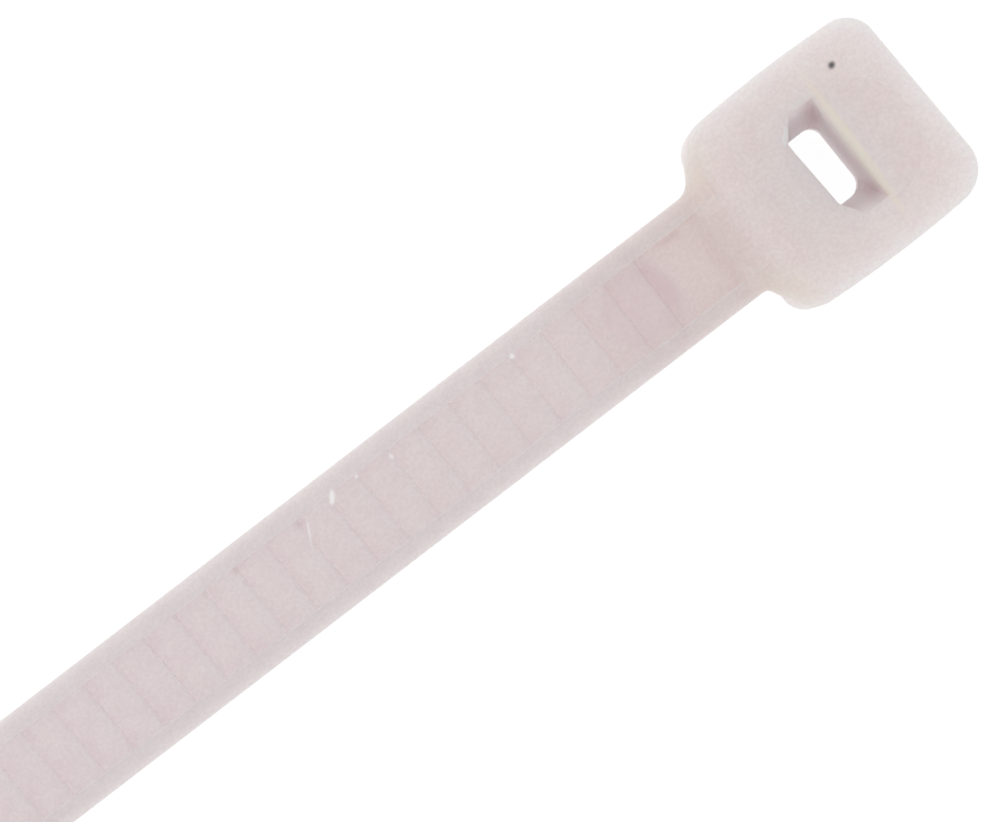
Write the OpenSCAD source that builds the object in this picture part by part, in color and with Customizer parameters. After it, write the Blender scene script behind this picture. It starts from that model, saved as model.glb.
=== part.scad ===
// Cable tie, moulded in one piece from natural nylon.
// X runs along the strap with the head at +X, Y runs across it, and Z points out of the toothed face.
// The tie lies at rest on the head's lower face and the tip of its tail, with the teeth upwards.
// All sizes are in millimetres.

/* [Overall] */
// Length of the whole tie, from the tip of the tail to the far face of the head
tie_len = 150; // [90:1:300]

/* [Strap] */
// Width of the strap
strap_w = 3.62; // [3.3:0.02:4.4]
// Thickness of the strap at the crests of its two rails
strap_t = 1.2; // [1.1:0.02:1.4]
// Height of the upright side wall, up to the start of the rail's bevel
side_h = 0.78; // [0.5:0.02:0.95]
// Width of the toothed band between the rails
band_w = 2.45; // [2:0.05:2.7]
// Width of the narrow crest on each rail
crest_w = 0.06; // [0.03:0.01:0.15]

/* [Teeth] */
// Distance from one tooth to the next
tooth_pitch = 1.13; // [0.8:0.01:1.6]
// Height of a tooth above its root
tooth_h = 0.2; // [0.1:0.01:0.24]
// Thickness of the strap at the root of the teeth
root_t = 0.9; // [0.7:0.02:0.95]
// How far the steep face of a tooth leans back towards the tail
tooth_lean = 0.06; // [0:0.01:0.15]
// Distance from the head to the steep face of the first tooth
tooth_start = 3.03; // [2.2:0.01:6]
// Distance from the head to the foot of the ramp that ends the toothed band
ramp_foot = 1.35; // [1:0.01:2]
// Distance from the head to the top of that ramp
ramp_top = 0.5; // [0.2:0.01:0.8]

/* [Tail] */
// Length of the plain tail beyond the last tooth
tail_len = 20; // [8:0.5:30]
// Length of the slope from the rails down to the tail
rail_end = 1.6; // [0.5:0.1:4]
// Width of the tail at its round tip
tip_w = 1.8; // [1:0.05:2.6]
// Thickness of the tail at its tip
tip_t = 0.55; // [0.3:0.01:0.7]
// Length over which the tail thins towards the tip
tip_thin = 9; // [2:0.5:14]

/* [Head] */
// Length of the head along the strap
head_l = 6.67; // [6:0.01:8]
// Width of the head across the strap
head_w = 6.66; // [5.8:0.01:8]
// Height of the head, from its lower face to its upper face
head_h = 4.6; // [4:0.05:5.5]
// How much the two long sides of the head bow outwards
side_bow = 0.15; // [0.05:0.01:0.3]
// Radius of the two far corners of the head
far_r = 0.95; // [0.4:0.05:1.4]
// Radius of the two corners of the head next to the strap
near_r = 0.85; // [0.4:0.05:0.85]
// Radius of the rounding round the head's upper face
top_r = 0.14; // [0.05:0.01:0.3]
// Radius of the rounding round the head's lower face
base_r = 0.45; // [0.1:0.05:0.7]
// Step from the crests of the rails up to the head's upper face
face_step = 0.06; // [0.04:0.01:0.15]

/* [Neck] */
// Radius of the fillets between the strap's sides and the head
neck_r = 0.6; // [0.2:0.05:0.9]
// Radius of the fillet below the strap
under_r = 0.6; // [0.2:0.05:1]

/* [Slot] */
// Clearance on each side of the strap where it enters the mouth of the slot
mouth_gap = 0.06; // [0.01:0.01:0.1]
// Clearance across the thickness of the strap, before the pawl
slot_gap = 0.21; // [0.1:0.01:0.3]
// How much of the mouth's two near corners is cut off along the strap
corner_l = 0.59; // [0.3:0.01:0.6]
// How much of the mouth's two near corners is cut off across the strap
corner_w = 0.71; // [0.4:0.01:0.75]
// Wall between the slot and the far face of the head
far_wall = 2.72; // [1.6:0.02:3.2]
// Radius of the far corners of the core, where it leaves the lower face
core_r = 0.35; // [0.1:0.01:0.5]
// Height of the straight throat, below the sloping side pockets
throat_h = 0.8; // [0.3:0.05:1.5]

/* [Pawl] */
// Gap between the pawl and the cheeks on each side
pawl_gap = 0.08; // [0.04:0.01:0.15]
// Thickness of the pawl at its root
pawl_t = 0.6; // [0.4:0.02:0.8]
// Thickness of the pawl at its free end
pawl_tip_t = 0.42; // [0.3:0.02:0.6]
// Room behind the pawl, for it to bend away from the strap
pawl_room = 0.5; // [0.3:0.02:0.7]
// Depth of the pawl's root below the head's upper face
pawl_root = 1.35; // [0.9:0.05:1.8]
// Height of the pawl's free end above the head's lower face
pawl_up = 0.5; // [0.2:0.05:0.9]
// Height of the lowest pawl tooth's crest above the pawl's free end
pawl_toe = 0.25; // [0.1:0.05:0.4]
// How far the lowest tooth's crest stands into the slot
pawl_reach = 0.37; // [0.25:0.01:0.5]
// Number of teeth on the pawl
pawl_teeth = 2; // [1:1:2]

/* [Mould marks] */
// Diameter of the ejector pin mark on the toothed band
pin_d = 2.25; // [1:0.05:2.4]
// Distance from the head to the middle of the pin mark
pin_at = 3.73; // [2.6:0.01:8]
// Depth of the pin mark
pin_sink = 0.05; // [0.02:0.01:0.1]
// Diameter of the round witness mark on the head's upper face
ring_d = 4; // [3:0.05:4.4]
// Distance from the far face of the head to the middle of the witness mark
ring_at = 2.62; // [2.3:0.01:3.2]
// Depth of the witness mark
ring_sink = 0.02; // [0.01:0.01:0.05]

/* [Hidden] */
$fn = 48;
nylon = "#D7CCCB";
// Overlap that lets a cut or a joined solid pass clean through a face
over = 0.3;
strap_len = tie_len - head_l;
// Height of the strap's back where it meets the head
back_z = head_h - face_step - strap_t;
// Angle at which the strap hangs from the head, so that its tip touches what the head stands on
droop = asin(back_z / strap_len);
// Length of the strap that is buried in the head
bury = 0.3;
crest_y = band_w / 2 + crest_w;
toothed_len = strap_len - tail_len;
tooth_count = floor((toothed_len - tooth_start) / tooth_pitch);
teeth_end = tooth_start + tooth_count * tooth_pitch;
// Number of straight steps in the curved ramp at the neck
ramp_steps = 8;
// Radius of the large arcs that bow the head's sides
bow_r = (pow(head_l / 2, 2) + pow(side_bow, 2)) / (2 * side_bow);
// Y of the middle of the arc that bows the head's +Y side
bow_y = head_w / 2 - bow_r;
// Straight steps in each arc of the head's plan, and in each rounding round its faces
arc_steps = 8;
rim_steps = 4;
mouth_w = strap_w + 2 * mouth_gap;
slot_t = strap_t + slot_gap;
// The slot's face against which the back of the strap slides, and the face opposite, above the pawl
slot_far = head_l - far_wall;
slot_near = slot_far - slot_t;
// The pawl's root, its lowest crest, and the height of its teeth, which mesh with the strap's
root_z = head_h - pawl_root;
crest_z = pawl_up + pawl_toe;
pawl_w = band_w - 2 * pawl_gap;
pawl_tooth_h = 0.85 * tooth_h;

// A flat outline drawn in X and Z, made solid across the strap
module across(width) {
    rotate([90, 0, 0]) linear_extrude(width, center = true) children();
}

// A flat outline drawn in Y and Z, made solid along the strap
module along(length) {
    rotate([90, 0, 90]) linear_extrude(length) children();
}

// Section of the strap: upright sides, bevelled rails, and the band left level with their crests
module strap_section() {
    polygon([
        [-strap_w / 2, 0], [strap_w / 2, 0], [strap_w / 2, side_h],
        [crest_y, strap_t], [-crest_y, strap_t], [-strap_w / 2, side_h]
    ]);
}

// Height of the neck's ramp at the share k of its length, from foot (0) to top (1)
function ramp_z(k) = root_t + (strap_t - root_t) * (1 - cos(180 * k)) / 2;

// The space over the teeth, drawn with the distance from the head as X and the height over the back as Y
module tooth_space() {
    top = strap_t + over;
    polygon([
        [ramp_top, top],
        for (i = [ramp_steps:-1:0]) [ramp_foot + (ramp_top - ramp_foot) * i / ramp_steps, ramp_z(i / ramp_steps)],
        for (i = [0:tooth_count - 1]) let (x = tooth_start + i * tooth_pitch)
            each [[x, root_t], [x + tooth_lean, root_t + tooth_h]],
        [teeth_end, root_t], [toothed_len + over, root_t], [toothed_len + over, top]
    ]);
}

// The tooth space as a solid in the strap's own place, with the head at X = 0 and the tail at -X
module tooth_cut() {
    across(band_w) mirror([1, 0]) tooth_space();
}

// Plan of the tail, a taper that runs at a tangent into its round tip
module tail_plan() {
    tip_r = tip_w / 2;
    tip_x = tail_len - tip_r;
    slope = atan2(strap_w / 2, tip_x) - asin(tip_r / norm([tip_x, strap_w / 2]));
    polygon([
        [-over, -strap_w / 2], [0, -strap_w / 2], [tip_x + tip_r * sin(slope), -tip_r * cos(slope)],
        [tip_x + tip_r * sin(slope), tip_r * cos(slope)], [0, strap_w / 2], [-over, strap_w / 2]
    ]);
    translate([tip_x, 0]) circle(tip_r);
}

module tail() {
    difference() {
        translate([-toothed_len, 0, 0]) mirror([1, 0, 0]) linear_extrude(side_h) tail_plan();
        across(strap_w + over) polygon([
            [-strap_len + tip_thin, side_h], [-strap_len, tip_t], [-strap_len - over, tip_t],
            [-strap_len - over, side_h + over], [-strap_len + tip_thin, side_h + over]
        ]);
    }
}

// Strap with its teeth, level, with its back at Z = 0 and the head's near face at X = 0
module strap() {
    difference() {
        translate([-toothed_len, 0, 0]) along(toothed_len + bury) strap_section();
        tooth_cut();
        // The slope down to the tail, which is as thick as the side walls are high
        across(strap_w + over) polygon([
            [-toothed_len - over, side_h], [-toothed_len, side_h], [-toothed_len + rail_end, strap_t],
            [-toothed_len + rail_end, strap_t + over], [-toothed_len - over, strap_t + over]
        ]);
        // The pin mark sinks the teeth that it covers
        intersection() {
            translate([0, 0, -pin_sink]) tooth_cut();
            translate([-pin_at, 0, 0]) cylinder(h = strap_t, d = pin_d);
        }
    }
    tail();
}

// Y of the middle of a corner of radius r that touches an end face and the bowed side
function corner_y(r) = bow_y + sqrt(pow(bow_r - r, 2) - pow(head_l / 2 - r, 2));

// Points along an arc about c, from angle a to angle b, without the first and last of them if they are cut
function arc(c, r, a, b, cut = 0) =
    [for (i = [cut:arc_steps - cut]) let (t = a + (b - a) * i / arc_steps) c + r * [cos(t), sin(t)]];

// Outline of the head, drawn in by d all round: two bowed sides, two flat ends and four round corners
function head_outline(d) =
    let (
        far = [head_l - far_r, corner_y(far_r)],
        near = [near_r, corner_y(near_r)],
        bow = [head_l / 2, bow_y],
        far_a = atan2(far[1] - bow[1], far[0] - bow[0]),
        near_a = atan2(near[1] - bow[1], near[0] - bow[0]),
        half = concat(
            arc(far, far_r - d, 0, far_a), arc(bow, bow_r - d, far_a, near_a, 1), arc(near, near_r - d, near_a, 180)
        )
    )
    concat(half, [for (i = [len(half) - 1:-1:0]) [half[i][0], -half[i][1]]]);

// Height of each ring of the head's block and how far its outline is drawn in, from the lower face up
head_rings = concat(
    [for (i = [rim_steps:-1:0]) let (t = 90 * i / rim_steps) base_r * [1 - sin(t), 1 - cos(t)]],
    [for (i = [0:rim_steps]) let (t = 90 * i / rim_steps) [head_h, 0] + top_r * [sin(t) - 1, 1 - cos(t)]]
);

// Block of the head, a loft through its rings with one rounding all round each of its two faces
module head_block() {
    n = len(head_outline(0));
    top = len(head_rings) - 1;
    polyhedron(
        points = [for (ring = head_rings) for (p = head_outline(ring[1])) [p[0], p[1], ring[0]]],
        faces = concat(
            [[for (i = [0:n - 1]) i], [for (i = [n - 1:-1:0]) top * n + i]],
            [for (k = [0:top - 1]) for (i = [0:n - 1]) let (j = (i + 1) % n)
                [k * n + i, k * n + n + i, k * n + n + j, k * n + j]]
        )
    );
}

// Fillets in plan beside the strap, which rise out of its bevels towards the head, and the one below it
module neck() {
    translate([0, 0, back_z]) intersection() {
        linear_extrude(strap_t) for (side = [0, 1]) mirror([0, side]) difference() {
            translate([-neck_r, crest_y]) square([neck_r + over, strap_w / 2 - crest_y + neck_r]);
            translate([-neck_r, strap_w / 2 + neck_r]) circle(neck_r);
        }
        across(head_w) polygon([[-neck_r, 0], [over, 0], [over, strap_t], [0, strap_t], [-neck_r, side_h]]);
    }
    across(strap_w) difference() {
        translate([-under_r, back_z - under_r]) square([under_r + over, under_r + over]);
        translate([-under_r, back_z - under_r]) circle(under_r);
    }
}

// Mouth of the slot: the strap's section and its clearance, with the strap's back towards +X
module mouth_plan() {
    w = mouth_w / 2;
    polygon([
        [slot_far, -w], [slot_far, w], [slot_near + corner_l, w], [slot_near, w - corner_w],
        [slot_near, corner_w - w], [slot_near + corner_l, -w]
    ]);
}

// Core of the slot, as wide as the toothed band, with its two far corners rounded
module core_plan() {
    translate([slot_near - over, -band_w / 2]) square([slot_t + over - core_r, band_w]);
    translate([slot_near - over, -band_w / 2 + core_r]) square([slot_t + over, band_w - 2 * core_r]);
    for (y = [-1, 1]) translate([slot_far - core_r, y * (band_w / 2 - core_r)]) circle(core_r);
}

module slot() {
    // The core, and the room behind the pawl
    translate([0, 0, -over]) linear_extrude(root_z + over) {
        core_plan();
        translate([slot_near - pawl_t - pawl_room, -band_w / 2]) square([pawl_t + pawl_room, band_w]);
    }
    translate([0, 0, root_z - over]) linear_extrude(pawl_root + 2 * over) intersection() {
        core_plan();
        translate([slot_near, -band_w / 2]) square([slot_t, band_w]);
    }
    // The side pockets, which slope in from the mouth to the core
    intersection() {
        linear_extrude(head_h + over) mouth_plan();
        translate([slot_near, 0, 0]) along(slot_t) polygon([
            [-band_w / 2, throat_h], [band_w / 2, throat_h], [mouth_w / 2, head_h],
            [mouth_w / 2, head_h + over], [-mouth_w / 2, head_h + over], [-mouth_w / 2, head_h]
        ]);
    }
}

// How far a crest at height z stands into the slot, on the line from the pawl's root to its lowest crest
function reach_at(z) = pawl_reach * (root_z - z) / (root_z - crest_z);

module pawl() {
    translate([slot_near, 0, 0]) across(pawl_w) polygon([
        [-pawl_t, root_z + over], [0, root_z + over], [0, root_z],
        for (i = [pawl_teeth - 1:-1:0]) let (z = crest_z + i * tooth_pitch)
            each [[reach_at(z), z], [reach_at(z) - pawl_tooth_h, z - tooth_lean]],
        [pawl_reach - pawl_tooth_h, pawl_up], [pawl_reach - pawl_tooth_h - pawl_tip_t, pawl_up], [-pawl_t, root_z]
    ]);
}

module head() {
    difference() {
        union() {
            head_block();
            neck();
        }
        slot();
        translate([head_l - ring_at, 0, head_h - ring_sink]) cylinder(h = ring_sink + over, d = ring_d);
    }
    pawl();
}

module cable_tie() {
    color(nylon) translate([tie_len / 2 - head_l, 0, 0]) {
        head();
        translate([0, 0, back_z]) rotate([0, -droop, 0]) strap();
    }
}

cable_tie();
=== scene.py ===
import math

import bmesh
import bpy
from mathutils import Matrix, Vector


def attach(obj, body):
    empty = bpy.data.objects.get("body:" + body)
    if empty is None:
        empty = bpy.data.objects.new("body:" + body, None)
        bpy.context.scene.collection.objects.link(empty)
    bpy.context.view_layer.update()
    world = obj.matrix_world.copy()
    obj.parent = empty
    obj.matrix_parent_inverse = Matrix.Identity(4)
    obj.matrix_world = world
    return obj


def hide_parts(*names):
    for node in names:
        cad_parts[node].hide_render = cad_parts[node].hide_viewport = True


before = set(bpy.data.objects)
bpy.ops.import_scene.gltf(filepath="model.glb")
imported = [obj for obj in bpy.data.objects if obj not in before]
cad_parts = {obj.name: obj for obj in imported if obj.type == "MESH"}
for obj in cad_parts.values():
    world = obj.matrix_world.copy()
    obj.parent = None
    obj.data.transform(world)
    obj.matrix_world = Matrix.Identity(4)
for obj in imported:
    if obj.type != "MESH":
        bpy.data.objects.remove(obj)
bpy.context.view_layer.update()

mm = 0.001  # the pieces are modelled in millimetres and brought to metres at the end
nudge = 0.002  # how near a vertex lies to a place to count as on it, in millimetres
beyond = 0.3  # how far a cutter reaches past the face that it cuts, in millimetres


def makeActive(piece):
    # selects this object alone
    bpy.ops.object.select_all(action="DESELECT")
    piece.select_set(True)
    bpy.context.view_layer.objects.active = piece


def startPiece(name, addPrimitive, **settings):
    # a new piece in edit mode with nothing selected
    bpy.ops.object.select_all(action="DESELECT")
    addPrimitive(**settings)
    piece = bpy.context.active_object
    piece.name = piece.data.name = name
    bpy.ops.object.transform_apply(location=True, rotation=True, scale=True)
    bpy.ops.object.mode_set(mode="EDIT")
    bpy.ops.mesh.select_all(action="DESELECT")
    return piece


def startBlock(name, low, high):
    # a block between two corners
    middle = [(a + b) / 2 for a, b in zip(low, high)]
    size = [b - a for a, b in zip(low, high)]
    return startPiece(name, bpy.ops.mesh.primitive_cube_add, size=1, location=middle, scale=size)


def pick(kind, test):
    # selects the vertices, edges or faces that pass the test
    bpy.ops.mesh.select_all(action="DESELECT")
    bpy.ops.mesh.select_mode(type=kind)
    mesh = bmesh.from_edit_mesh(bpy.context.edit_object.data)
    items = {"VERT": mesh.verts, "EDGE": mesh.edges, "FACE": mesh.faces}[kind]
    for item in items:
        if test(item):
            item.select_set(True)
    mesh.select_flush_mode()
    bmesh.update_edit_mesh(bpy.context.edit_object.data)


def ends(edge):
    return edge.verts[0].co, edge.verts[1].co


def runsAlong(edge, axis):
    # True for an edge that runs along that axis
    a, b = ends(edge)
    way = b - a
    return way.length > 0 and abs(way[axis]) > 0.95 * way.length


def near(a, b):
    return abs(a - b) < nudge


def finishPiece(piece):
    bpy.ops.mesh.select_all(action="SELECT")
    bpy.ops.mesh.remove_doubles(threshold=0.0005)
    bpy.ops.mesh.normals_make_consistent(inside=False)
    bpy.ops.object.mode_set(mode="OBJECT")
    return piece


def combine(piece, other, operation):
    # joins other to piece, or cuts it out of piece, and removes other
    makeActive(piece)
    step = piece.modifiers.new(operation.lower(), "BOOLEAN")
    step.operation = operation
    step.object = other
    step.solver = "EXACT"
    bpy.ops.object.modifier_apply(modifier=step.name)
    bpy.data.objects.remove(other, do_unlink=True)


strap = {
    "length": 143.33,  # from the head to the tip of the tail
    "width": 3.68,
    "thickness": 1.2,
    "sideHeight": 0.78,
    "bandWidth": 2.45,
    "crestWidth": 0.06,
    "pitch": 1.13,
    "teeth": 106,
    "toothHeight": 0.2,
    "floor": 0.9,  # thickness at the root of the teeth
    "lean": 0.06,
    "firstTooth": 3.03,  # distance from the head
    "rampFoot": 1.35,
    "rampTop": 0.5,
    "toothedLength": 123.33,
    "railEnd": 0.943,  # thickness where the rails and the band meet, at the end of the teeth
    "tipWidth": 1.8,
    "tipThickness": 0.55,
    "thinning": 9.0,  # length over which the tail thins towards the tip
    "tailSteps": 10,
    "tipSteps": 8,
    "tipOpen": 0.4,  # share of a step at the very tip that a flat end closes
    "neckRadius": {1: 0.68, -1: 0.3},  # of the fillet on each side of the strap
    "neckStart": {1: 0.95, -1: 0.6},  # distance from the head to where it starts
    "neckSlope": {1: 58, -1: 62},  # degrees, of the straight part that follows the fillet
    "shoulder": {1: 0.92, -1: 0.79},  # how far the neck has spread where it runs into the head
    "rampSteps": 10,
    "neckSteps": 14,
    "intoHead": 0.3,  # how far the strap reaches into the head
    "underRadius": 0.6,
    "neckRise": 0.35,  # how far the outer edge of each rail rises into the head
    "topRise": 0.05,  # how far the neck's upper face rises into the rounding of the head's edge
    "toothRound": 0.035,
    "backRound": 0.13,
    "sideRound": 0.16,
    "crestRound": 0.02,
    "droop": 1.334,  # degrees, so that the tip of the tail touches the floor as the head does
    "backHeight": 3.34,  # height of the strap's back at the head
    "pinRadius": 1.125,  # of the round mark that an ejector pin left on the first teeth
    "pinAt": 3.73,
    "pinDepth": 0.05,
    "skew": 0.0022,  # lean of the rows of teeth for each millimetre along the strap
    "skewLength": 20,  # length over which that lean grows
}


def modelStrap():
    # one tooth with its stretch of both rails, repeated in a row, and then the two ends
    s = strap
    crestY = s["bandWidth"] / 2 + s["crestWidth"]
    bandY = s["bandWidth"] / 2
    foot = -s["firstTooth"]
    crest = foot - s["lean"]
    heel = foot - s["pitch"]
    # from the foot of one tooth's steep face to the next
    piece = startBlock("cableTie", (heel, -s["width"] / 2, 0), (foot, s["width"] / 2, s["thickness"]))
    for side in (-1, 1):  # the bevelled outer side of each rail
        pick("FACE", lambda face: True)
        bpy.ops.mesh.bisect(
            plane_co=(0, side * crestY, s["thickness"]),
            plane_no=(0, side * (s["thickness"] - s["sideHeight"]), s["width"] / 2 - crestY),
            use_fill=True, clear_outer=True,
        )
    pick("FACE", lambda face: abs(face.normal.x) > 0.9)
    bpy.ops.mesh.delete(type="FACE")
    for side in (-1, 1):  # the sunk band between the rails
        pick("FACE", lambda face: face.normal.z > 0.9)
        bpy.ops.mesh.bisect(plane_co=(0, side * bandY, 0), plane_no=(0, 1, 0))
    pick("FACE", lambda face: face.normal.z > 0.9 and abs(face.calc_center_median().y) < nudge)
    bpy.ops.mesh.extrude_region_move(TRANSFORM_OT_translate={"value": (0, 0, s["floor"] - s["thickness"])})
    pick("FACE", lambda face: abs(face.normal.x) > 0.9)
    bpy.ops.mesh.delete(type="FACE")
    pick("FACE", lambda face: True)
    bpy.ops.mesh.bisect(plane_co=(crest, 0, 0), plane_no=(1, 0, 0))
    pick("VERT", lambda v: near(v.co.x, crest) and near(v.co.z, s["floor"]) and abs(v.co.y) < bandY + nudge)
    bpy.ops.transform.translate(value=(0, 0, s["toothHeight"]))
    # roundings
    toothTop = s["floor"] + s["toothHeight"]
    pick("EDGE", lambda e: all(near(p.x, crest) and near(p.z, toothTop) for p in ends(e)))
    bpy.ops.mesh.bevel(offset=s["toothRound"], segments=2, affect="EDGES", clamp_overlap=False)
    for y, z, size, steps in (
        (s["width"] / 2, 0, s["backRound"], 3),
        (s["width"] / 2, s["sideHeight"], s["sideRound"], 3),
        (crestY, s["thickness"], s["crestRound"], 1),
        (bandY, s["thickness"], s["crestRound"], 1),
    ):
        pick("EDGE", lambda e: runsAlong(e, 0) and all(near(abs(p.y), y) and near(p.z, z) for p in ends(e)))
        bpy.ops.mesh.bevel(offset=size, segments=steps, affect="EDGES", clamp_overlap=False)
    bpy.ops.object.mode_set(mode="OBJECT")
    row = piece.modifiers.new("row of teeth", "ARRAY")
    row.count = s["teeth"]
    row.use_relative_offset = False
    row.use_constant_offset = True
    row.constant_offset_displace = (-s["pitch"], 0, 0)
    row.use_merge_vertices = True
    row.merge_threshold = 0.001
    bpy.ops.object.modifier_apply(modifier=row.name)
    bpy.ops.object.mode_set(mode="EDIT")
    neckEnd()
    tailEnd()
    finishPiece(piece)
    return piece


def carryOn(x, newX):
    # carries the open end of the strap at x on to newX
    pick("EDGE", lambda e: e.is_boundary and all(near(p.x, x) for p in ends(e)))
    bpy.ops.mesh.extrude_region_move(TRANSFORM_OT_translate={"value": (newX - x, 0, 0)})


def closeEnd(x):
    pick("EDGE", lambda e: e.is_boundary and all(near(p.x, x) for p in ends(e)))
    bpy.ops.mesh.edge_face_add()


def neckSpread(away, side):
    # how far the neck has spread beside the strap at this distance from the head
    s = strap
    radius, slope = s["neckRadius"][side], math.radians(s["neckSlope"][side])
    along = s["neckStart"][side] - away
    if along <= 0:
        return 0
    bend = radius * math.sin(slope)
    if along < bend:
        return radius - math.sqrt(radius ** 2 - along ** 2)
    return min(radius * (1 - math.cos(slope)) + (along - bend) * math.tan(slope), s["shoulder"][side])


def underDrop(away):
    radius = strap["underRadius"]
    if away >= radius:
        return 0
    return radius - math.sqrt(radius ** 2 - (radius - max(away, 0)) ** 2)


def neckEnd():
    # the level floor before the teeth, the ramp up to the crests, and the fillets that spread into the head
    s = strap
    bandY = s["bandWidth"] / 2
    crestY = bandY + s["crestWidth"]
    outerY = (crestY + s["width"] / 2) / 2
    overBack = s["backRound"] + 0.1
    x = -s["firstTooth"]
    ramp, neck = s["rampSteps"], s["neckSteps"]
    stations = [-s["rampFoot"] + (s["rampFoot"] - s["rampTop"]) * i / ramp for i in range(ramp + 1)]
    stations += [-s["rampTop"] * (1 - i / neck) for i in range(1, neck + 1)] + [s["intoHead"]]
    floor = s["floor"]
    drop = rise = 0
    spread = {1: 0, -1: 0}
    for newX in stations:
        carryOn(x, newX)
        x = newX
        away = max(-x, 0)
        share = min(max((s["rampFoot"] - away) / (s["rampFoot"] - s["rampTop"]), 0), 1)
        newFloor = s["floor"] + (s["thickness"] - s["floor"]) * (1 - math.cos(math.pi * share)) / 2
        if newFloor < s["thickness"] - nudge:
            pick("VERT", lambda v: near(v.co.x, x) and near(v.co.z, floor) and abs(v.co.y) < bandY + nudge)
            bpy.ops.transform.translate(value=(0, 0, newFloor - floor))
        elif floor < s["thickness"] - nudge:
            pick("VERT", lambda v: near(v.co.x, x) and v.co.z > s["floor"] and abs(v.co.y) < crestY + nudge)
            bpy.ops.transform.resize(value=(1, 1, 0), center_override=(x, 0, s["thickness"]))
        floor = newFloor
        newRise = s["topRise"] * (1 - math.cos(math.pi * max(1 - away / s["rampTop"], 0))) / 2
        pick("VERT", lambda v: near(v.co.x, x) and v.co.z > s["thickness"] - nudge)
        bpy.ops.transform.translate(value=(0, 0, newRise - rise))
        rise = newRise
        for side in (-1, 1):
            newSpread = neckSpread(away, side)
            step = newSpread - spread[side]
            spread[side] = newSpread
            pick("VERT", lambda v: near(v.co.x, x) and side * v.co.y > outerY)
            bpy.ops.transform.translate(value=(0, side * step, 0))
            pick("VERT", lambda v: near(v.co.x, x) and v.co.z > overBack and side * v.co.y > outerY)
            bpy.ops.transform.translate(value=(0, 0, step * s["neckRise"] / s["shoulder"][side]))
        newDrop = underDrop(away)
        pick("VERT", lambda v: near(v.co.x, x) and v.co.z < s["backRound"] + nudge)
        bpy.ops.transform.translate(value=(0, 0, drop - newDrop))
        drop = newDrop
    closeEnd(x)


def tailEnd():
    # the rails slope down to a plain tail that narrows and thins towards a round tip
    s = strap
    x = -s["firstTooth"] - s["teeth"] * s["pitch"]
    end = -s["toothedLength"]
    tip = -s["length"]
    tipRadius = s["tipWidth"] / 2
    pick("VERT", lambda v: near(v.co.x, x) and v.co.z > s["railEnd"] - nudge)
    bpy.ops.transform.resize(value=(1, 1, 0), center_override=(x, 0, s["railEnd"]))
    carryOn(x, end)
    x = end
    pick("VERT", lambda v: near(v.co.x, x) and v.co.z > s["sideHeight"])
    bpy.ops.transform.resize(value=(1, 1, 0), center_override=(x, 0, s["sideHeight"]))
    width, thickness = s["width"] / 2, s["sideHeight"]
    taperEnd = tip + tipRadius
    stations = []
    for i in range(1, s["tailSteps"] + 1):
        share = i / s["tailSteps"]
        narrowed = s["width"] / 2 + (tipRadius - s["width"] / 2) * share
        stations.append((end + (taperEnd - end) * share, narrowed))
    for i in range(1, s["tipSteps"] + 1):
        turn = math.pi / 2 * i / (s["tipSteps"] + s["tipOpen"])
        stations.append((taperEnd - tipRadius * math.sin(turn), tipRadius * math.cos(turn)))
    for newX, newWidth in stations:
        carryOn(x, newX)
        x = newX
        thinned = max(0, (tip + s["thinning"] - x) / s["thinning"])
        newThickness = s["sideHeight"] + (s["tipThickness"] - s["sideHeight"]) * min(1, thinned)
        scale = (1, newWidth / width, newThickness / thickness)
        pick("VERT", lambda v: near(v.co.x, x))
        bpy.ops.transform.resize(value=scale, center_override=(x, 0, 0))
        width, thickness = newWidth, newThickness
    closeEnd(x)


head = {
    "length": 6.67,
    "width": 6.66,
    "height": 4.6,
    "bow": 0.15,  # how much further out the long sides stand at their middle than at their ends
    "cornerRadius": {"near left": 0.85, "near right": 0.76, "far left": 0.85, "far right": 1.1},
    "cornerSteps": 12,
    "cuts": 10,  # steps in which the long sides bow out
    "topRound": 0.14,
    "baseRound": 0.45,
    "slotNear": 2.58,
    "slotFar": 3.95,
    "cornerX": 0.59,  # the mouth's two near corners are cut off by this much
    "cornerY": 0.71,
    "mouthWidth": 3.66,
    "throat": 0.8,  # height at which the mouth has narrowed to the core
    "nearLean": 0.1,  # how much further in the mouth's near right corner stands than the left one
    "coreRadius": {1: 0.4, -1: 0.5},  # of its two far corners
    "farLip": 0.22,  # rounding of the mouth's far edge, where the strap slides in
    "lip": 0.07,  # rounding of its other edges
    "outletLip": 0.1,
    "pawlRoot": 3.25,
    "pawlRoom": 1.1,  # the pawl and the room behind it, along the strap
    "pawlThickness": 0.6,
    "pawlTip": 0.42,
    "pawlWidth": 2.29,
    "pawlUp": 0.5,  # height of its free end
    "pawlToe": 0.25,  # from there up to the crest of its lower tooth
    "pawlReach": 0.37,  # how far that crest stands into the slot
    "pawlTooth": 0.85,  # height of its teeth, as a share of the strap's
    "pawlRound": 0.03,
    "witnessRadius": 2.0,
    "witnessAt": 4.05,
    "witnessDepth": 0.02,
    "skew": 0.0065,  # lean of the far end, for each millimetre along the head
}


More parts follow.
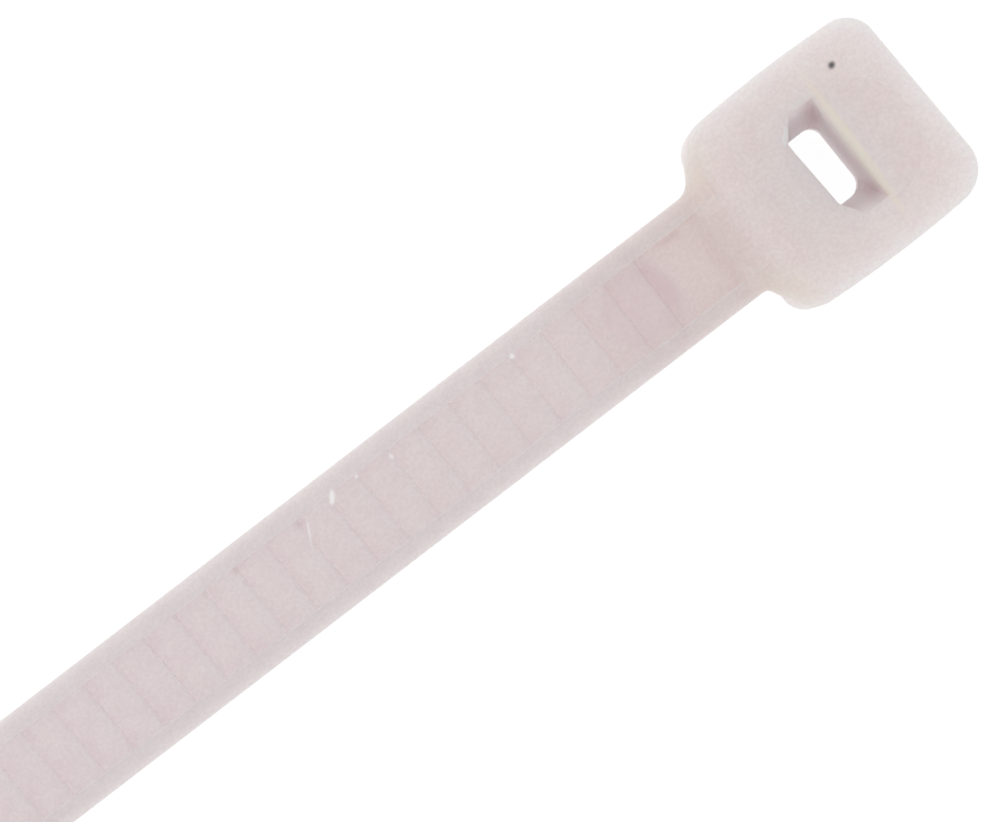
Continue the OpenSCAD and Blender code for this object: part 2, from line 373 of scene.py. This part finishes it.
def modelHead():
    # the block of the head, without its slot; its corners are named as seen from the strap
    h = head
    half = h["length"] / 2
    piece = startBlock("head", (0, -h["width"] / 2, 0), (h["length"], h["width"] / 2, h["height"]))
    for corner, radius in h["cornerRadius"].items():
        x = 0 if "near" in corner else h["length"]
        side = 1 if "left" in corner else -1
        pick("EDGE", lambda e: runsAlong(e, 2) and all(near(p.x, x) and side * p.y > 0 for p in ends(e)))
        bpy.ops.mesh.bevel(offset=radius, segments=h["cornerSteps"], affect="EDGES", clamp_overlap=False)
    widest = max(h["cornerRadius"].values())
    for i in range(1, h["cuts"]):
        x = half + (half - widest) * (2 * i / h["cuts"] - 1)
        pick("FACE", lambda face: True)
        bpy.ops.mesh.bisect(plane_co=(x, 0, 0), plane_no=(1, 0, 0))
    mesh = bmesh.from_edit_mesh(piece.data)
    for x in sorted({round(v.co.x, 4) for v in mesh.verts}):  # the long sides bow out
        narrower = (x / half - 1) ** 2 * h["bow"] / (h["width"] / 2)
        pick("VERT", lambda v: round(v.co.x, 4) == x)
        bpy.ops.transform.resize(value=(1, 1 - narrower, 1), center_override=(x, 0, 0))
    for z in (0, h["height"]):
        pick("FACE", lambda face: all(near(v.co.z, z) for v in face.verts))
        bpy.ops.mesh.dissolve_faces()
    for z, size, steps in ((h["height"], h["topRound"], 4), (0, h["baseRound"], 6)):
        pick("EDGE", lambda e: all(near(p.z, z) for p in ends(e)))
        bpy.ops.mesh.bevel(offset=size, segments=steps, affect="EDGES", clamp_overlap=False)
    return finishPiece(piece)


def lipOffset(z, top, radius):
    # how far an edge rounded with this radius has drawn back at height z
    rise = min(max(z - (top - radius), 0), radius)
    return radius - math.sqrt(radius ** 2 - rise ** 2)


def modelMouth():
    # the mouth of the slot in the shape of the strap's section, narrowing down to the throat
    h = head
    s = strap
    bandY = s["bandWidth"] / 2
    mouthY = h["mouthWidth"] / 2
    low, top = h["throat"], h["height"] - h["witnessDepth"]
    z = top - h["farLip"]
    slope = (mouthY - bandY) / (top - low)
    piece = startBlock("mouth", (h["slotNear"], -1, low), (h["slotFar"], 1, z))
    for level in (low, z):
        pick("VERT", lambda v: near(v.co.z, level))
        bpy.ops.transform.resize(value=(1, bandY + slope * (level - low), 1), center_override=(0, 0, level))
    for side in (-1, 1):  # the two near corners follow the bevels of the rails
        pick("FACE", lambda face: True)
        bpy.ops.mesh.bisect(plane_co=(h["slotNear"], side * (mouthY - h["cornerY"]), 0),
                            plane_no=(-h["cornerY"], side * h["cornerX"], 0), use_fill=True, clear_outer=True)
    heights = [top - h["farLip"] * (1 - math.sin(math.pi / 2 * i / 6)) for i in range(1, 7)]
    nearWall = h["slotNear"] + 0.2  # a vertex up to here belongs to the near wall
    sideWall = mouthY - 0.3  # and one from here on to a side wall
    for newZ in heights + [h["height"] + beyond]:
        pick("FACE", lambda face: face.normal.z > 0.9)
        bpy.ops.mesh.extrude_region_move(TRANSFORM_OT_translate={"value": (0, 0, newZ - z)})
        farStep = lipOffset(newZ, top, h["farLip"]) - lipOffset(z, top, h["farLip"])
        step = lipOffset(newZ, top, h["lip"]) - lipOffset(z, top, h["lip"])
        rise = slope * (min(newZ, top) - z)
        pick("VERT", lambda v: near(v.co.z, newZ) and v.co.x > h["slotFar"] - nudge)
        bpy.ops.transform.translate(value=(farStep, 0, 0))
        pick("VERT", lambda v: near(v.co.z, newZ) and v.co.x < nearWall)
        bpy.ops.transform.translate(value=(-step, 0, 0))
        for side in (-1, 1):
            pick("VERT", lambda v: near(v.co.z, newZ) and side * v.co.y > sideWall)
            bpy.ops.transform.translate(value=(0, side * (step + rise), 0))
        z = newZ
    pick("VERT", lambda v: v.co.x < nearWall and v.co.y < 0)
    bpy.ops.transform.translate(value=(h["nearLean"], 0, 0))
    return finishPiece(piece)


def modelCore():
    # the straight core, with the room behind the pawl
    h = head
    bandY = strap["bandWidth"] / 2
    low, far = h["outletLip"], h["slotFar"]
    piece = startBlock("core", (h["slotNear"] - h["pawlRoom"], -bandY, low), (far, bandY, h["pawlRoot"]))
    for side, radius in h["coreRadius"].items():
        pick("EDGE", lambda e: runsAlong(e, 2) and all(near(p.x, far) and side * p.y > 0 for p in ends(e)))
        bpy.ops.mesh.bevel(offset=radius, segments=8, affect="EDGES", clamp_overlap=False)
    z = low
    for newZ in [low * (1 - math.sin(math.pi / 2 * i / 4)) for i in range(1, 5)] + [-beyond]:
        pick("FACE", lambda face: face.normal.z < -0.9)
        bpy.ops.mesh.extrude_region_move(TRANSFORM_OT_translate={"value": (0, 0, newZ - z)})
        step = lipOffset(-newZ, 0, low) - lipOffset(-z, 0, low)
        middleX = far - (far - h["slotNear"] + h["pawlRoom"]) / 2
        for way in (-1, 1):
            pick("VERT", lambda v: near(v.co.z, newZ) and way * (v.co.x - middleX) > 0)
            bpy.ops.transform.translate(value=(way * step, 0, 0))
            pick("VERT", lambda v: near(v.co.z, newZ) and way * v.co.y > 0)
            bpy.ops.transform.translate(value=(0, way * step, 0))
        z = newZ
    return finishPiece(piece)


def modelPawl():
    # the tongue in the slot, with two teeth towards the far wall
    h = head
    s = strap
    back, x, z = h["slotNear"] - h["pawlThickness"], h["slotNear"], h["pawlRoot"]
    piece = startBlock("pawl", (back, -h["pawlWidth"] / 2, z), (x, h["pawlWidth"] / 2, z + 0.4))
    crestLow = h["pawlUp"] + h["pawlToe"]
    toothHeight = h["pawlTooth"] * s["toothHeight"]
    endBack = x + h["pawlReach"] - toothHeight - h["pawlTip"]

    def reachAt(height):
        return h["pawlReach"] * (h["pawlRoot"] - height) / (h["pawlRoot"] - crestLow)

    stations = []
    for crest in (crestLow + s["pitch"], crestLow):
        stations += [(crest, reachAt(crest)), (crest - s["lean"], reachAt(crest) - toothHeight)]
    stations.append((h["pawlUp"], h["pawlReach"] - toothHeight))
    for newZ, reach in stations:
        pick("FACE", lambda face: face.normal.z < -0.5 and min(v.co.z for v in face.verts) < z + nudge)
        bpy.ops.mesh.extrude_region_move(TRANSFORM_OT_translate={"value": (0, 0, newZ - z)})
        newX = h["slotNear"] + reach
        share = (h["pawlRoot"] - newZ) / (h["pawlRoot"] - h["pawlUp"])
        newBack = h["slotNear"] - h["pawlThickness"] + (endBack - h["slotNear"] + h["pawlThickness"]) * share
        pick("VERT", lambda v: near(v.co.z, newZ) and near(v.co.x, x))
        bpy.ops.transform.translate(value=(newX - x, 0, 0))
        pick("VERT", lambda v: near(v.co.z, newZ) and near(v.co.x, back))
        bpy.ops.transform.translate(value=(newBack - back, 0, 0))
        x, z, back = newX, newZ, newBack
    finishPiece(piece)
    rounding = piece.modifiers.new("edges", "BEVEL")
    rounding.width = h["pawlRound"]
    rounding.segments = 2
    rounding.limit_method = "ANGLE"
    rounding.angle_limit = math.radians(30)
    bpy.ops.object.modifier_apply(modifier=rounding.name)
    return piece


def modelWitness():
    # the shallow round mark on the head's upper face
    h = head
    depth = 0.4
    return finishPiece(startPiece(
        "witness", bpy.ops.mesh.primitive_cone_add, vertices=128,
        radius1=h["witnessRadius"], radius2=h["witnessRadius"] + depth, depth=depth,
        location=(h["witnessAt"], 0, h["height"] - h["witnessDepth"] + depth / 2),
    ))


def markStrap(tie):
    # the round mark of the ejector pin sinks the teeth that it covers
    s = strap
    makeActive(tie)
    bpy.ops.object.duplicate()
    sunk = bpy.context.active_object
    sunk.location = (0, 0, -s["pinDepth"])
    bpy.ops.object.transform_apply(location=True)
    bottom, depth = s["floor"] - beyond, 1
    pin = finishPiece(startPiece(
        "pin", bpy.ops.mesh.primitive_cylinder_add, vertices=96, radius=s["pinRadius"], depth=depth,
        location=(-s["pinAt"], 0, bottom + depth / 2),
    ))
    combine(pin, sunk, "DIFFERENCE")
    combine(tie, pin, "DIFFERENCE")


def skewTie(tie):
    # the far end of the head and the rows of teeth stand slightly askew to the strap
    for v in tie.data.vertices:
        along, across = v.co.x, v.co.y
        if along > 0:
            lean = head["skew"] * along
        else:
            lean = strap["skew"] * min(max(-along - strap["firstTooth"], 0), strap["skewLength"])
        v.co.x = along - across * lean


def placeTie(tie):
    # from millimetres, with the head's near face at the origin, into the frame of the part
    makeActive(tie)
    tie.location = ((strap["length"] - head["length"]) / 2, 0, 0)
    bpy.ops.object.transform_apply(location=True, rotation=True, scale=True)
    tie.scale = (mm, mm, mm)
    bpy.ops.object.transform_apply(location=True, rotation=True, scale=True)


def modelTie():
    tie = modelStrap()
    markStrap(tie)
    tie.location = (0, 0, strap["backHeight"])
    tie.rotation_euler = (0, math.radians(-strap["droop"]), 0)
    makeActive(tie)
    bpy.ops.object.transform_apply(location=True, rotation=True, scale=True)
    print("strap:", len(tie.data.polygons), "faces")
    block = modelHead()
    combine(block, modelWitness(), "DIFFERENCE")
    combine(block, modelCore(), "DIFFERENCE")
    combine(block, modelMouth(), "DIFFERENCE")
    combine(block, modelPawl(), "UNION")
    print("head:", len(block.data.polygons), "faces")
    combine(tie, block, "UNION")
    skewTie(tie)
    placeTie(tie)
    bpy.ops.object.shade_smooth_by_angle(angle=math.radians(35))
    # flat faces look flat beside their roundings
    normals = tie.modifiers.new("normals", "WEIGHTED_NORMAL")
    normals.keep_sharp = True
    bpy.ops.object.modifier_apply(modifier=normals.name)
    print("tie:", len(tie.data.polygons), "faces")
    return tie


def linear(hexColour):
    # an sRGB hex colour as the linear RGBA that a socket takes
    parts = [int(hexColour[i:i + 2], 16) / 255 for i in (1, 3, 5)]
    return [c / 12.92 if c <= 0.04045 else ((c + 0.055) / 1.055) ** 2.4 for c in parts] + [1]


def addNode(tree, kind, settings=None, values=None, links=None):
    # one node with its settings, the values of its inputs and what is linked to them
    node = tree.nodes.new(kind)
    for name, value in (settings or {}).items():
        setattr(node, name, value)
    for name, value in (values or {}).items():
        node.inputs[name].default_value = value
    for name, output in (links or {}).items():
        tree.links.new(output, node.inputs[name])
    return node


nylon = {
    "alongTie": [  # colour at places along the part, in mm: greyer in the thin strap and paler in the head, painted light for how light passes through the thin nylon and scatters back in the thick head; darkest just before the head, painted shade where the strap runs into it
        (45, "#DED5D6"), (62, "#DDD4D4"), (65.2, "#D8CDCC"),
        (67.4, "#DCD0CD"), (68.7, "#F4EBE9"), (75, "#F5EDEB"),
    ],
    "railShadeAcross": [  # painted shade on the rails' bevels: how much darker they are, by mm from the strap's middle
        (1.22, "#FFFFFF"), (1.3, "#F6F7F7"), (1.62, "#F6F7F7"), (1.72, "#F9F9F8"),
    ],
    "railsFade": (68.1, 67.2),  # from where the head begins to where the painted shade of the rails is full
    # painted light: the slot's inner walls paler than the nylon, for the light that reaches them
    "slotWallLight": "#FFF1F2",
    "slotPlace": (71.3, 0, 1.6, 3.0, 0, 0.2),  # an oval round the slot, as in marks
    "slotDepth": (4.45, 4.3),  # heights between which the walls take over from the upper face
    "mottle": [  # size in mm, share of the darker colour, and that colour
        (0.6, 0.072, "#E8C8D8"),  # clouds in the moulding
        (0.11, 0.14, "#C8C0C0"),  # grain of the mould's surface, also in relief
    ],
    "noiseFrom": 0.35,  # the noise runs between these two values
    "noiseTo": 0.65,
    "roughness": 0.42,
    "relief": (0.2, 0.01),  # strength of the grain's relief, and its depth in mm
    "scatter": (3.5, 1.8),  # mm that light spreads under the surface, in the thin strap and in the head
    "scatterPlace": (67.2, 68.6),  # where the one changes into the other
    "neckAt": 68.33,  # the head's near face
    "upperFrom": (0.4, 0.6),  # heights over the strap's back between which the marks begin
}

# marks on the upper side, some of them painted highlights and painted shade: middle and half sizes in mm,
# turn in degrees, softness, colour, strength
marks = {
    "black speck": (73.315, 2.215, 0.1, 0.085, 20, 0.8, "#2A2A2C", 0.85),
    "witness disc": (72.38, -0.05, 2.0, 2.0, 0, 0.02, "#E2D6D6", 0.1),
    # painted shade: the sunk pin mark darker, with a darker crescent on its side towards the head
    "pin disc shade": (64.6, 0.05, 1.12, 1.12, 0, 0.15, "#D2C2C6", 0.35),
    "pin crescent shade": (65.5, 0.15, 0.28, 0.8, 8, 0.8, "#C6B2BC", 0.35),
    # painted highlight along the rounded far edge of the mouth
    "mouth lip highlight": (72.43, -0.02, 0.15, 1.87, -0.9, 0.6, "#FFF0DC", 0.8),
    # painted glint on the edge of the mouth's cut-off near corner
    "mouth corner glint": (70.97, 1.37, 0.06, 0.24, -40, 0.6, "#FFFFFF", 1.0),
    # painted glint on a small nick at a tooth's end by the upper rail
    "nick glint": (54.05, 1.1, 0.07, 0.19, -38, 0.6, "#FFFFFF", 1.0),
    "scratch": (52.9, 0.7, 0.03, 0.34, -26, 0.8, "#FFFFFF", 0.35),
    # painted glints where teeth meet the upper rail
    "tooth glint one": (60.75, 1.17, 0.07, 0.07, 0, 0.6, "#FFFFFF", 0.9),
    "tooth glint two": (55.0, 1.16, 0.05, 0.05, 0, 0.7, "#FFFFFF", 0.6),
    "tooth glint three": (56.17, 1.0, 0.05, 0.09, 0, 0.7, "#FFFFFF", 0.6),
    # darker spots by the upper rail
    "dark spot one": (52.8, 1.05, 0.16, 0.12, 0, 0.9, "#B9A3B4", 0.25),
    "dark spot two": (50.5, 1.15, 0.14, 0.1, 0, 0.9, "#B9A3A4", 0.25),
    # painted shade in the corner where the band meets the upper rail, before the ramp
    "rail corner shade": (66.5, 1.1, 0.3, 0.08, 0, 0.9, "#B9A8A8", 0.3),
    # painted shade: a warmer, darker tone on the shoulders where the neck runs into the head
    "warm shoulder shade": (68.35, -2.45, 0.5, 0.9, 20, 0.9, "#EADBC6", 0.35),
    "warm neck shade": (68.2, 2.3, 0.45, 0.8, -25, 0.9, "#EADBC6", 0.3),
}


def rangeNode(tree, value, places, to=(0, 1)):
    # what value says between two places in mm, spread over another range
    limits = {"From Min": places[0] * mm, "From Max": places[1] * mm, "To Min": to[0], "To Max": to[1]}
    return addNode(tree, "ShaderNodeMapRange", values=limits, links={"Value": value}).outputs["Result"]


def markMask(tree, place, x, y, halfLength, halfWidth, turn, soft):
    # 1 inside an oval on the tie, seen from above, falling to 0 over its soft edge
    inside = addNode(tree, "ShaderNodeMapping", {"vector_type": "TEXTURE"},
                     {"Location": (x * mm, y * mm, 0), "Rotation": (0, 0, math.radians(turn)),
                      "Scale": (halfLength * mm, halfWidth * mm, 1)}, {"Vector": place})
    reach = addNode(tree, "ShaderNodeVectorMath", {"operation": "LENGTH"}, links={0: inside.outputs[0]})
    return addNode(tree, "ShaderNodeMapRange", {"interpolation_type": "SMOOTHSTEP"},
                   {"From Min": 1 - soft, "From Max": 1 + soft, "To Min": 1, "To Max": 0},
                   {"Value": reach.outputs["Value"]}).outputs["Result"]


def rampNode(tree, fac, stops):
    # a colour ramp through places from 0 to 1
    ramp = addNode(tree, "ShaderNodeValToRGB", links={"Fac": fac})
    points = ramp.color_ramp.elements
    while len(points) < len(stops):
        points.new(0.5)
    for point, (at, hue) in zip(points, stops):
        point.position, point.color = at, linear(hue)
    return ramp.outputs["Color"]


def naturalNylon():
    # Polyamide 66 without pigment, injection moulded: milky and translucent, so that edges and teeth
    # look soft, with a satin skin from the fine texture of the mould
    n = nylon
    material = bpy.data.materials.new("moulded natural polyamide")
    material.use_nodes = True
    tree = material.node_tree
    tree.nodes.clear()
    place = addNode(tree, "ShaderNodeTexCoord").outputs["Object"]
    along = addNode(tree, "ShaderNodeSeparateXYZ", links={"Vector": place})
    # the colour along the tie, with painted light and shade in it
    first, last = n["alongTie"][0][0], n["alongTie"][-1][0]
    share = rangeNode(tree, along.outputs["X"], (first, last))
    tone = rampNode(tree, share, [((x - first) / (last - first), hue) for x, hue in n["alongTie"]])
    aside = addNode(tree, "ShaderNodeMath", {"operation": "ABSOLUTE"}, links={0: along.outputs["Y"]})
    aside = addNode(tree, "ShaderNodeMath", {"operation": "MULTIPLY"}, {1: 0.5 / mm}, {0: aside.outputs[0]})
    # painted shade on the rails' bevels, fading out towards the head
    rails = rampNode(tree, aside.outputs[0], [(y / 2, hue) for y, hue in n["railShadeAcross"]])
    strapOnly = rangeNode(tree, along.outputs["X"], n["railsFade"])
    tone = addNode(tree, "ShaderNodeMix", {"data_type": "RGBA", "blend_type": "MULTIPLY"},
                   links={0: strapOnly, 6: tone, 7: rails}).outputs[2]
    for size, depth, dark in n["mottle"]:
        noise = addNode(tree, "ShaderNodeTexNoise", values={"Scale": 1 / (size * mm), "Detail": 2},
                        links={"Vector": place})
        spread = addNode(tree, "ShaderNodeMapRange",
                         values={"From Min": n["noiseFrom"], "From Max": n["noiseTo"], "To Max": depth},
                         links={"Value": noise.outputs["Fac"]})
        tone = addNode(tree, "ShaderNodeMix", {"data_type": "RGBA", "blend_type": "MULTIPLY"},
                       {7: linear(dark)}, {0: spread.outputs["Result"], 6: tone}).outputs[2]
    # the slot's inner walls below the upper face take the paler colour: painted light
    deep = rangeNode(tree, along.outputs["Z"], n["slotDepth"])
    walls = addNode(tree, "ShaderNodeMath", {"operation": "MULTIPLY"},
                    links={0: markMask(tree, place, *n["slotPlace"]), 1: deep})
    tone = addNode(tree, "ShaderNodeMix", {"data_type": "RGBA"}, {7: linear(n["slotWallLight"])},
                   {0: walls.outputs[0], 6: tone}).outputs[2]
    fall = math.tan(math.radians(strap["droop"]))
    over = addNode(tree, "ShaderNodeMath", {"operation": "MULTIPLY_ADD"}, {1: -fall},
                   {0: along.outputs["X"], 2: along.outputs["Z"]})
    back = strap["backHeight"] - fall * n["neckAt"]
    upper = rangeNode(tree, over.outputs[0], [back + height for height in n["upperFrom"]])
    plain = tone
    for x, y, halfLength, halfWidth, turn, soft, colour, strength in marks.values():
        mask = markMask(tree, place, x, y, halfLength, halfWidth, turn, soft)
        amount = addNode(tree, "ShaderNodeMath", {"operation": "MULTIPLY"}, {1: strength}, {0: mask})
        tone = addNode(tree, "ShaderNodeMix", {"data_type": "RGBA"}, {7: linear(colour)},
                       {0: amount.outputs[0], 6: tone}).outputs[2]
    tone = addNode(tree, "ShaderNodeMix", {"data_type": "RGBA"},
                   links={0: upper, 6: plain, 7: tone}).outputs[2]
    thick = rangeNode(tree, along.outputs["X"], n["scatterPlace"], [reach * mm for reach in n["scatter"]])
    strength, depth = n["relief"]
    relief = addNode(tree, "ShaderNodeBump", values={"Strength": strength, "Distance": depth * mm},
                     links={"Height": noise.outputs["Fac"]})
    skin = addNode(tree, "ShaderNodeBsdfPrincipled",
                   values={"Roughness": n["roughness"], "IOR": 1.53, "Subsurface Weight": 1,
                           "Subsurface Radius": (1, 0.9, 0.9)},
                   links={"Base Color": tone, "Subsurface Scale": thick, "Normal": relief.outputs["Normal"]})
    addNode(tree, "ShaderNodeOutputMaterial", links={"Surface": skin.outputs["BSDF"]})
    return material


def seenRays(tree):
    # 1 for rays that reach the eye straight, by a reflection or through the tie
    ray = addNode(tree, "ShaderNodeLightPath")
    seen = addNode(tree, "ShaderNodeMath", {"operation": "MAXIMUM"},
                   links={0: ray.outputs["Is Camera Ray"], 1: ray.outputs["Is Glossy Ray"]})
    return addNode(tree, "ShaderNodeMath", {"operation": "MAXIMUM"},
                   links={0: seen.outputs[0], 1: ray.outputs["Is Transmission Ray"]}).outputs[0]


def whiteFloor():
    # Matt white card under the tie: plain white to the camera, with a trace of the tie's shadow
    material = bpy.data.materials.new("matt white card")
    material.use_nodes = True
    tree = material.node_tree
    tree.nodes.clear()
    seen = seenRays(tree)
    card = addNode(tree, "ShaderNodeBsdfDiffuse", values={"Color": linear(studio["card"])})
    lit = addNode(tree, "ShaderNodeEmission", values={"Strength": studio["floorGlow"]})
    card = addNode(tree, "ShaderNodeAddShader", links={0: card.outputs[0], 1: lit.outputs[0]})
    glow = addNode(tree, "ShaderNodeEmission", values={"Strength": studio["cardWhite"]})
    thin = addNode(tree, "ShaderNodeBsdfDiffuse", values={"Color": [studio["cardShade"]] * 3 + [1]})
    white = addNode(tree, "ShaderNodeAddShader", links={0: glow.outputs[0], 1: thin.outputs[0]})
    either = addNode(tree, "ShaderNodeMixShader", links={0: seen, 1: card.outputs[0], 2: white.outputs[0]})
    addNode(tree, "ShaderNodeOutputMaterial", links={"Surface": either.outputs[0]})
    return material


studio = {
    "cameraPlace": (59.50, 0.11, 126.6),  # mm, straight above the middle of the picture
    "cameraTurn": -37.55,  # degrees
    "lens": 150.6,
    "ambient": 0.835,
    "floorGlow": 0.4,  # light that the card sends up into the tie
    "card": "#E6E6E6",  # the card's colour in the light that it gives the tie
    "cardWhite": 0.95,  # the card as the camera sees it, and how much light and shadow add to it
    "cardShade": 0.12,
    "lit": (0.06, 0, 0),  # middle of what the photo shows, which the lamps point at, in metres
    "lamps": {  # power in watts, place from there and size in metres
        "key": (0.45, (-0.08, 0.42, 0.45), 0.4),
        "edge": (0.13, (0.02, -0.5, 0.2), 0.3),
    },
}


def setCamera():
    lens = bpy.data.cameras.new("camera")
    lens.lens = studio["lens"]
    lens.sensor_width = 36
    lens.clip_start = 0.01
    camera = bpy.data.objects.new("camera", lens)
    camera.location = [value * mm for value in studio["cameraPlace"]]
    camera.rotation_euler = (0, 0, math.radians(studio["cameraTurn"]))
    bpy.context.scene.collection.objects.link(camera)
    bpy.context.scene.camera = camera


def addSoftbox(name, power, place, size):
    lamp = bpy.data.lights.new(name, "AREA")
    lamp.energy = power
    lamp.size = size
    box = bpy.data.objects.new(name, lamp)
    box.location = Vector(place) + Vector(studio["lit"])
    box.rotation_euler = Vector(place).to_track_quat("Z", "Y").to_euler()
    bpy.context.scene.collection.objects.link(box)


def buildStudio():
    setCamera()
    scene = bpy.context.scene
    scene.view_settings.view_transform = "Standard"
    world = bpy.data.worlds.new("studio")
    scene.world = world
    world.use_nodes = True
    tree = world.node_tree
    tree.nodes.clear()
    seen = seenRays(tree)
    dim = addNode(tree, "ShaderNodeBackground", values={"Strength": studio["ambient"]})
    white = addNode(tree, "ShaderNodeBackground", values={"Strength": 1})
    either = addNode(tree, "ShaderNodeMixShader", links={0: seen, 1: dim.outputs[0], 2: white.outputs[0]})
    addNode(tree, "ShaderNodeOutputWorld", links={"Surface": either.outputs[0]})
    for name, (power, place, size) in studio["lamps"].items():
        addSoftbox(name, power, place, size)
    bpy.ops.object.select_all(action="DESELECT")
    bpy.ops.mesh.primitive_plane_add(size=3, location=(0, 0, -0.01 * mm))
    floor = bpy.context.active_object
    floor.name = floor.data.name = "floor"
    floor.data.materials.append(whiteFloor())
    print("studio: camera, floor and lights")


tie = modelTie()
tie.data.materials.clear()
tie.data.materials.append(naturalNylon())
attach(tie, "root")
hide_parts("cable_tie")
buildStudio()
